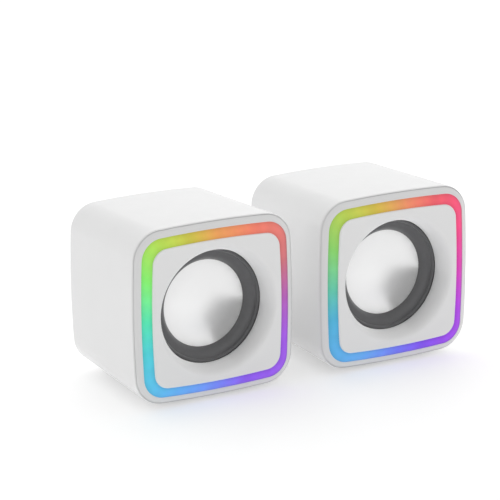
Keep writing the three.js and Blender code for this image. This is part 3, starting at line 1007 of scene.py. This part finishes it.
    def screw(self, index: int) -> Item:
        """Builds a pan-head case screw with a cross recess and a coarse thread.

        Args:
            index: The screw's number in the frame.

        Returns:
            The screw.
        """
        node = self.place.node(f"case_screw_{index}")
        tip, end = self.place.span(node)
        head, height = self.place.radius(node), self.screw_height
        shank, pitch = 1.4 * MM, 1.0 * MM
        seat = end - height
        thread = []
        for k in range(int((seat - tip - shank) / pitch)):
            start = tip + shank + k * pitch
            thread += [(shank * 0.78, start), (shank, start + pitch * 0.45), (shank, start + pitch * 0.6)]
        flat, drop = 0.45, 0.6
        dome = [(head * (flat + (1 - flat) * math.cos(a)), end - height * drop * (1 - math.sin(a)))
                for a in np.radians(np.linspace(0, 90, 7))]
        profile = [
            (0.0, tip),
            (shank * 0.3, tip),
            *thread,
            (shank * 0.8, seat),
            (head, seat),
            *dome,
            (0.0, end),
        ]
        axis = self.place.axis(node)
        item = turn(f"{node}_turned", profile, 32, axis)
        blades = [cross_cutter(axis, end, head * 0.62, shank * 0.2, height * 0.55, angle)
                  for angle in (0.0, math.pi / 2)]
        combine(item, blades, Cut.REMOVE)
        return fit(item, self.place, SCREW_STEEL, node)

    def build(self) -> None:
        """Builds every piece of the enclosure."""
        self.shell()
        for index in range(1, 5):
            self.foot(index)
            self.screw(index)
        for node in self.glands():
            self.gland(node)


def upright(name: str, profile: Profile, x: float, depth: float, steps: int = 32) -> Item:
    """Turns a section about an upright axis.

    Args:
        name: The new object's name.
        profile: Points as radius and height, from axis to axis.
        x: Where the axis stands across.
        depth: Where the axis stands in depth.
        steps: Points round the axis.

    Returns:
        The turned solid.
    """
    angles = np.linspace(0, math.tau, steps, endpoint=False)
    rings = [np.c_[x + r * np.cos(angles), depth + r * np.sin(angles), np.full(steps, z)] for r, z in profile]
    return skin(name, rings, Ends.CAPS)


def cross_cutter(axis: Point, end: float, reach: float, half: float, depth: float,
                 angle: float) -> Item:
    """Makes one tapered blade of a cross recess.

    Args:
        axis: The screw's axis, across and up.
        end: Depth of the head's top.
        reach: Half of the blade's length at the top.
        half: Half of its width.
        depth: How deep it goes.
        angle: Its turn about the axis, in radians.

    Returns:
        The cutter.
    """
    rings = []
    for y, scale in ((end - depth, 0.4), (end + depth, 1.6)):
        corners = np.array([[-reach, -half], [reach, -half], [reach, half], [-reach, half]])
        corners[:, 0] *= scale
        flat = corners @ spin(angle) + np.array(axis)
        rings.append(np.c_[flat[:, 0], np.full(4, y), flat[:, 1]])
    return skin("blade", rings, Ends.CAPS)


@dataclass
class FrontPanel:
    """The bezel, the light ring and the fascia with its well."""

    place: Place
    light: RainbowLight
    flare: float = 3.3 * MM
    flare_depth: float = 6.5 * MM
    face_edge: float = 0.6 * MM
    crown: float = 0.22 * MM
    seam_depth: float = 1.45 * MM
    shoulder: float = 0.55
    well_radius: float = 22.7 * MM

    def bezel(self) -> Item:
        """Builds the white ring that rises from the cabinet's rim to the light in a rounded shoulder.

        Returns:
            The bezel.
        """
        front, back = self.place.depths("front_frame")
        inset = RIM + SEAM
        roll = SEAM / 2
        shell = Outline(self.place.half, SHELL_BOW, SHELL_CORNER)
        outer = shell.inset(inset)
        inner = LIGHT_OUTER.inset(-0.03 * MM)
        slope = []
        for t in (1 - np.cos(np.linspace(0, math.pi / 2, 13))):
            curve = self.shoulder * (1 - math.sqrt(1 - (1 - t) ** 2)) + (1 - self.shoulder) * (1 - t)
            slope.append(at_depth(outer * (1 - t) + inner * t, front + (self.seam_depth - front) * curve))
        rings = [
            at_depth(shell.inset(inset - roll), back),
            at_depth(shell.inset(inset - roll), self.seam_depth + SEAM_DEPTH),
            at_depth(shell.inset(inset - roll / 2), self.seam_depth + SEAM_DEPTH / 3),
            *slope,
            at_depth(inner, front + 0.1 * MM),
            at_depth(inner, back),
        ]
        item = skin(self.place.node("bezel"), rings, Ends.LOOP)
        return fit(item, self.place, SHADED_BEZEL_WHITE, self.place.node("front_frame"))

    def diffuser(self) -> Item:
        """Builds the translucent ring, whose crowned face climbs from the bezel to the fascia.

        Returns:
            The light ring.
        """
        front, back = self.place.depths("light_ring")
        gap = 0.05 * MM
        edge = 0.1 * MM
        outer, inner = LIGHT_OUTER.inset(gap), LIGHT_INNER.inset(-gap)
        shares = np.linspace(0, 1, 9)
        crown = []
        for t in shares:
            rise = self.crown * (1 - (2 * t - 1) ** 2)
            crown.append(at_depth(outer * (1 - t) + inner * t, edge + (front - edge) * t - rise))
        rings = [at_depth(outer, back), *crown, at_depth(inner, back)]
        item = skin(self.place.node("light_diffuser"), rings, Ends.LOOP)
        across = item.data.attributes.new(ACROSS, "FLOAT", "POINT")
        across.data.foreach_set("value", np.repeat([0.0, *shares, 1.0], len(outer)))
        return fit(item, self.place, self.light, self.place.node("light_ring"), sharp_degrees=50)

    def fascia(self) -> Item:
        """Builds the fascia, its flared well, the plate behind it, and the posts and bosses.

        Returns:
            The baffle.
        """
        front = self.place.depths("driver_baffle")[0]
        face = LIGHT_INNER.inset(0.04 * MM)
        angles = np.arctan2(face[:, 1], face[:, 0])
        edge = self.face_edge
        mouth = self.well_radius + self.flare
        plate_front, plate_back = 4 * MM, 6 * MM
        face_back = 2.2 * MM
        flare = [(mouth - self.flare * math.cos(a), front + self.flare_depth * (1 - math.sin(a)))
                 for a in np.radians(np.linspace(90, 0, 17))]
        border = [at_depth(LIGHT_INNER.inset(0.04 * MM + i), y)
                  for i, y in quarter_round((edge, front + edge), edge, 180, 270, 6)]
        edge_ring = border[-1]
        mouth_ring = circle(mouth, front, angles)
        spans = [edge_ring * (1 - t) + mouth_ring * t for t in (0.25, 0.5, 0.75)]
        rings = [
            at_depth(face, face_back),
            *border,
            *spans,
            *[circle(radius, depth, angles) for radius, depth in flare],
            circle(self.well_radius, plate_back, angles),
            circle(25.0 * MM, plate_back, angles),
            circle(25.0 * MM, face_back, angles),
        ]
        item = skin(self.place.node("fascia"), rings, Ends.LOOP)
        outer = Outline(self.place.half - RIM - 0.3 * MM, SHELL_BOW, SHELL_CORNER - RIM - 0.3 * MM).inset(0.0)
        outer_angles = np.arctan2(outer[:, 1], outer[:, 0])
        plate = skin("plate", [
            at_depth(outer, plate_front),
            at_depth(outer, plate_back),
            circle(24.0 * MM, plate_back, outer_angles),
            circle(24.0 * MM, plate_front, outer_angles),
        ], Ends.LOOP)
        combine(item, [plate, *self.posts(plate_front, plate_back, face_back)], Cut.JOIN)
        return fit(item, self.place, FASCIA_WHITE, self.place.node("driver_baffle"))

    def posts(self, plate_front: float, plate_back: float, face_back: float) -> list[Item]:
        """Makes the driver's posts in front of the plate and the case bosses behind it.

        Args:
            plate_front: Depth of the plate's front.
            plate_back: Depth of the plate's back.
            face_back: Depth of the face's back.

        Returns:
            The posts and bosses.
        """
        made = []
        boss_back = self.place.depths("driver_baffle")[1]
        for i in range(1, 5):
            driver = self.place.axis(self.place.node(f"driver_screw_{i}"))
            case = self.place.axis(self.place.node(f"case_screw_{i}"))
            made.append(rod("post", 2.8 * MM, face_back - 0.3 * MM, plate_front + 0.3 * MM, driver))
            made.append(rod("boss", 2.9 * MM, plate_back - 0.3 * MM, boss_back, case))
        return made

    def build(self) -> None:
        """Builds every piece of the front."""
        self.bezel()
        self.diffuser()
        self.fascia()


@dataclass
class Driver:
    """The loudspeaker: its rubber roll, cone and dome, and the parts behind them."""

    place: Place
    dome_radius: float = 17.1 * MM
    rim_roll: float = 0.22 * MM
    skin_depth: float = 0.5 * MM

    def surround(self) -> Item:
        """Builds the roll with its raised outer lip and the groove inside the lip.

        Returns:
            The surround, which spans from the cabinet to the cone; it is baked in place and parented to
            neither body.
        """
        flange_front = self.place.depths("basket")[0] - 0.9 * MM
        rim = self.place.depths("cone")[0] - 0.3 * MM
        outer = 25.5 * MM
        lip = quarter_round((21.95 * MM, flange_front + 0.05 * MM), 0.5 * MM, 330, 200, 8)
        outer_foot = (21.3 * MM, flange_front + 0.35 * MM)
        inner_edge = (self.dome_radius + 0.04 * MM, rim - 0.3 * MM)
        roll = self.roll(outer_foot, inner_edge, 16)
        back = [(radius, depth + self.skin_depth) for radius, depth in reversed(roll)]
        profile = [
            (outer, flange_front),
            (22.5 * MM, flange_front),
            *lip,
            *roll,
            *back,
            (21.8 * MM, flange_front + 0.55 * MM),
            (outer, flange_front + 0.55 * MM),
        ]
        item = turn(self.place.node("surround_roll"), profile, 128)
        # Kept out of reflections, so the domes reflect the pale collar's painted highlight in its place.
        item.visible_glossy = False
        case, cone = self.place.side.case, self.place.side.cone
        item.location = self.place.centre
        smooth(item, 50)
        item.data.materials.append(RUBBER_GREY.material())
        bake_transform(item)
        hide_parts(self.place.node("surround"))
        LOG.info("%s: bends between %s and %s", item.name, case, cone)
        return item

    def roll(self, start: Point, end: Point, steps: int) -> Profile:
        """Gives the roll's face as a flattened quarter of an ellipse that dives to the dome.

        Args:
            start: Radius and depth of its outer foot.
            end: Radius and depth of its inner edge.
            steps: Number of steps.

        Returns:
            The section's points.
        """
        points = []
        for k in range(steps + 1):
            t = k / steps
            bulge = math.sin(math.pi * t) * 0.8 * MM
            radius = start[0] + (end[0] - start[0]) * t
            depth = start[1] + (end[1] - start[1]) * t**1.25
            points.append((radius - bulge * 0.35, depth - bulge))
        return points

    def cone(self) -> Item:
        """Builds the pressed cone behind the dome, whose neck stays clear of the spider at full travel.

        Returns:
            The cone.
        """
        front, back = self.place.depths("cone")
        neck = back - 0.6 * MM
        profile = [
            (18.6 * MM, front),
            (18.6 * MM, front + self.skin_depth),
            (16.3 * MM, front + self.skin_depth),
            (13.2 * MM, neck),
            (13.2 * MM, neck - 1 * MM),
            (16.6 * MM, front),
        ]
        item = turn(self.place.node("pressed_cone"), profile, 96)
        return fit(item, self.place, CONE_BLACK, self.place.node("cone"), self.place.side.cone)

    def dome(self) -> Item:
        """Builds the spun dome with a small rolled rim.

        Returns:
            The dome.
        """
        front, back = self.place.depths("dust_cap")
        rim = back - self.skin_depth
        height = rim - front
        radius = self.dome_radius
        sphere = (radius**2 + height**2) / (2 * height)
        steps = 28
        radii = [radius * k / steps for k in range(steps + 1)]
        face = [(r, front + sphere - math.sqrt(sphere**2 - r**2)) for r in radii]
        rolled = quarter_round((radius, rim + self.rim_roll), self.rim_roll, 300, 420, 6)
        inner = [(r - 0.15 * MM if r > 0 else 0.0, y + self.skin_depth * 0.8) for r, y in reversed(face)]
        item = turn(self.place.node("silver_dome"), [*face[:-1], *rolled, *inner], 128)
        return fit(item, self.place, DOME_SILVER, self.place.node("dust_cap"), self.place.side.cone, 60)

    def inner_parts(self) -> None:
        """Dresses the parts behind the cone, which keep the frame's own shapes."""
        finishes = {
            "led_board": GREEN_BOARD,
            "voice_coil": COPPER,
            "spider": SPIDER_CLOTH,
            "basket": ZINC,
            "top_plate": ZINC,
            "magnet": FERRITE,
            "yoke": ZINC,
            **{f"driver_screw_{i}": SCREW_STEEL for i in range(1, 5)},
        }
        for piece, finish in finishes.items():
            dress(self.place.node(piece), finish)

    def build(self) -> None:
        """Builds and dresses every part of the driver."""
        self.surround()
        self.cone()
        self.dome()
        self.inner_parts()


def dress(node: str, finish: Finish) -> None:
    """Gives a part that keeps the frame's shape its finish, with softened edges.

    Args:
        node: The part's node in the frame.
        finish: Its finish.
    """
    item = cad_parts[node]
    item.data.materials.clear()
    item.data.materials.append(finish.material())
    bevel = item.modifiers.new("edges", "BEVEL")
    bevel.width = 0.08 * MM
    bevel.segments = 2
    bevel.angle_limit = math.radians(40)
    LOG.info("%s: dressed in %s", node, finish.name)


@dataclass
class VolumeControl:
    """The ribbed volume knob and the parts that it turns on."""

    place: Place
    ribs: int = 36
    rib_height: float = 0.28 * MM
    edge: float = 0.7 * MM

    def knob(self) -> Item:
        """Builds the ribbed knob with a rounded end and a pointer groove.

        Returns:
            The knob.
        """
        front, back = self.place.span("volume_knob")
        radius = self.place.radius("volume_knob")
        centre = self.place.axis("volume_knob")
        angles = np.linspace(0, math.tau, self.ribs * 8, endpoint=False)
        ripple = 0.5 - 0.5 * np.cos(angles * self.ribs)
        ribbed = radius - self.rib_height * ripple**2
        shift = np.array([centre[0], 0.0, centre[1]])

        def ring(scale: float, depth: float, plain: bool = False) -> np.ndarray:
            """Gives a ribbed or plain ring of the knob's outside."""
            reach = (radius - self.rib_height if plain else ribbed) * scale
            return np.c_[reach * np.cos(angles), np.full(len(angles), depth), reach * np.sin(angles)] + shift

        rounding = quarter_round((radius - self.edge, back - self.edge), self.edge, 0, 90, 8)
        rings = [
            ring(0.9, front, True),
            ring(0.96, front),
            ring(1.0, front + 0.35 * MM),
            ring(1.0, back - self.edge),
            *[ring(r / radius, y, k > 4) for k, (r, y) in enumerate(rounding) if k > 0],
            ring(0.55, back, True),
            ring(0.5, back - 0.25 * MM, True),
            ring(0.2, back - 0.35 * MM, True),
        ]
        item = skin("ribbed_knob", rings, Ends.CAPS)
        left, right = centre[0] - 0.45 * MM, centre[0] + 0.45 * MM
        low, high = centre[1] + 2.2 * MM, centre[1] + 9 * MM
        groove = skin("groove", [
            np.array([[left, y, low], [right, y, low], [right, y, high], [left, y, high]])
            for y in (back - 0.6 * MM, back + 1 * MM)
        ], Ends.CAPS)
        room = turn("room", [
            (0.0, front - 1 * MM),
            (6.2 * MM, front - 1 * MM),
            (6.2 * MM, front + 2.4 * MM),
            (2.0 * MM, front + 2.4 * MM),
            (2.0 * MM, back - 1.2 * MM),
            (0.0, back - 1.2 * MM),
        ], 64, centre)
        combine(item, [groove, room], Cut.REMOVE)
        return fit(item, self.place, SHELL_WHITE, "volume_knob", "volume_control")

    def build(self) -> None:
        """Builds the knob and dresses what it hides."""
        self.knob()
        dress("volume_shaft", SCREW_STEEL)
        dress("pot_nut", ZINC)
        dress("potentiometer", ZINC)
        dress("amplifier_board", GREEN_BOARD)


@dataclass
class Studio:
    """The camera, the floor and the soft lights."""

    azimuth: float = 29.70
    elevation: float = 15.61
    roll: float = 0.56
    lens: float = 167.96
    sky_middle: float = 0.92
    sky_swing: float = 0.42
    # Angles and glow of the dome's reflection collars: painted shade between the angles, a painted highlight
    # round the rest.
    shade_start: float = -70
    shade_end: float = -5
    shade_glow: float = 0.19
    painted_highlight_glow: float = 0.93
    front_glow: float = 0.87
    eye_from_left_front: Vector = field(default_factory=lambda: Vector((-407.76, -741.34, 259.60)) * MM)

    def forward(self) -> Vector:
        """Gives the direction that the camera looks in."""
        azimuth, elevation = math.radians(self.azimuth), math.radians(self.elevation)
        level = math.cos(elevation)
        return Vector((math.sin(azimuth) * level, math.cos(azimuth) * level, -math.sin(elevation)))

    def camera(self, place: Place) -> None:
        """Stands the camera off the left speaker's front, looking along the row.

        Args:
            place: The left speaker's place.
        """
        data = bpy.data.cameras.new("camera")
        data.lens = self.lens
        data.sensor_width = 36.0
        data.clip_start = 0.01
        item = add_object("camera", data)
        item.location = place.centre + self.eye_from_left_front
        item.rotation_euler = self.forward().to_track_quat("-Z", "Y").to_euler("XYZ")
        item.rotation_euler.rotate_axis("Z", math.radians(-self.roll))
        bpy.context.scene.camera = item

    def floor(self) -> None:
        """Lays the pale floor."""
        size = 6.0
        corners = np.array([[-size, -size, 0], [size, -size, 0], [size, size, 0], [-size, size, 0]])
        mesh = bpy.data.meshes.new("floor")
        mesh.from_pydata(corners.tolist(), [], [(0, 1, 2, 3)])
        item = add_object("floor", mesh)
        graph = Graph("pale_floor")
        graph.feed("Base Color", graph.mix(graph.noise(0.4, 3.0), grey(0.92), grey(0.94)))
        graph.constant(Roughness=0.6, Emission_Color=grey(1.0), Emission_Strength=0.22)
        mesh.materials.append(graph.material)

    def lamp(self, name: str, spot: Vector, target: Vector, size: float, power: float) -> None:
        """Hangs a square soft light.

        Args:
            name: The light's name.
            spot: Where it hangs.
            target: Where it points.
            size: Its side.
            power: Its power in watts.
        """
        data = bpy.data.lights.new(name, "AREA")
        data.size = size
        data.energy = power
        item = add_object(name, data)
        item.location = spot
        item.rotation_euler = (target - spot).to_track_quat("-Z", "Y").to_euler()
        item.visible_camera = False

    def sky(self) -> None:
        """Lights the studio from all sides, more from behind the speakers than from the camera's side."""
        world = bpy.data.worlds.new("studio")
        world.use_nodes = True
        tree = world.node_tree
        back = next(n for n in tree.nodes if n.type == "BACKGROUND")
        back.inputs["Color"].default_value = grey(1.0)
        place = tree.nodes.new("ShaderNodeTexCoord")
        facing = tree.nodes.new("ShaderNodeVectorMath")
        facing.operation = "DOT_PRODUCT"
        facing.inputs[1].default_value = self.forward()
        level = tree.nodes.new("ShaderNodeMapRange")
        level.inputs["From Min"].default_value = -1.0
        level.inputs["From Max"].default_value = 1.0
        level.inputs["To Min"].default_value = self.sky_middle - self.sky_swing
        level.inputs["To Max"].default_value = self.sky_middle + self.sky_swing
        tree.links.new(place.outputs["Generated"], facing.inputs[0])
        tree.links.new(facing.outputs["Value"], level.inputs["Value"])
        tree.links.new(level.outputs["Result"], back.inputs["Strength"])
        bpy.context.scene.world = world

    def card(self, name: str, rows: Sequence[np.ndarray], spot: Vector, glow: float) -> Item:
        """Stands an open sheet that only reflections see.

        Args:
            name: The sheet's name.
            rows: Rows of points, each with the same number of them.
            spot: Where the points' origin stands.
            glow: How brightly it shines; 0 makes a dark card.

        Returns:
            The sheet.
        """
        count = len(rows[0])
        faces = [(r * count + i, r * count + i + 1, (r + 1) * count + i + 1, (r + 1) * count + i)
                 for r in range(len(rows) - 1) for i in range(count - 1)]
        mesh = bpy.data.meshes.new(name)
        mesh.from_pydata(np.vstack(rows).tolist(), [], faces)
        item = add_object(name, mesh)
        item.location = spot
        graph = Graph(name)
        graph.feed("Base Color", graph.mix(graph.noise(0.05), grey(0.05), grey(0.07)))
        graph.constant(Roughness=0.9, Emission_Color=grey(1.0), Emission_Strength=glow)
        mesh.materials.append(graph.material)
        item.visible_camera = False
        item.visible_diffuse = False
        item.visible_shadow = False
        return item

    def shade_dome(self, place: Place) -> None:
        """Stands sheets round a dome that only reflections see: a dark collar at its lower right, which
        paints shade into the dome's reflection, and a glowing pale one round the rest of its rim, which
        paints a bright reflection where the surround and the well would show.

        Args:
            place: The speaker's place.
        """
        outer, back = 22.3 * MM, 9.7 * MM
        start, split = self.shade_start, self.shade_end
        # Painted reflection: the dark collar is painted shade and the pale collar a painted highlight, both
        # seen only in the dome.
        for name, front, first, last, glow in (
            ("painted_shade_collar", -26 * MM, start, split, self.shade_glow),
            ("painted_highlight_collar", -1.5 * MM, split, start + 360, self.painted_highlight_glow),
        ):
            angles = np.radians(np.linspace(first, last, 49))
            profile = [(17.5 * MM, back), (outer, back), (outer, front)]
            rows = [circle(radius, depth, angles) for radius, depth in profile]
            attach(self.card(f"{name}_{place.side.value}", rows, place.centre, glow), place.side.case)

    def front_card(self) -> None:
        """Hangs a wide bright card behind the camera, for the domes to reflect."""
        width, height, distance = 8.0, 5.0, -2.5
        rows = [np.array([[-width, distance, z], [width, distance, z]]) for z in (0.0, height)]
        self.card("front_card", rows, Vector((0, 0, 0)), self.front_glow)

    def build(self, places: Iterable[Place]) -> None:
        """Sets up the whole studio.

        Args:
            places: Both speakers' places, the left one first.
        """
        places = list(places)
        self.camera(places[0])
        self.floor()
        self.sky()
        self.front_card()
        for place in places:
            self.shade_dome(place)
        self.lamp("top", Vector((-0.1, 0.1, 1.5)), Vector((0, 0, 0.03)), 1.4, 2.0)
        self.lamp("between", Vector((-4.9, 0, 44)) * MM, Vector((40, 0, 44)) * MM, 46 * MM, 0.0017)
        bpy.context.scene.view_settings.view_transform = "Standard"


def main() -> None:
    """Builds the studio and both speakers, in order."""
    logging.basicConfig(level=logging.INFO, format="%(name)s: %(message)s")
    places = {side: Place.of(side) for side in Side}
    Studio().build(places.values())
    lights = {Side.LEFT: LEFT_LIGHT, Side.RIGHT: RIGHT_LIGHT}
    for side, place in places.items():
        Enclosure(place).build()
        FrontPanel(place, lights[side]).build()
        Driver(place).build()
    VolumeControl(places[Side.RIGHT]).build()


if __name__ == "__main__":
    main()
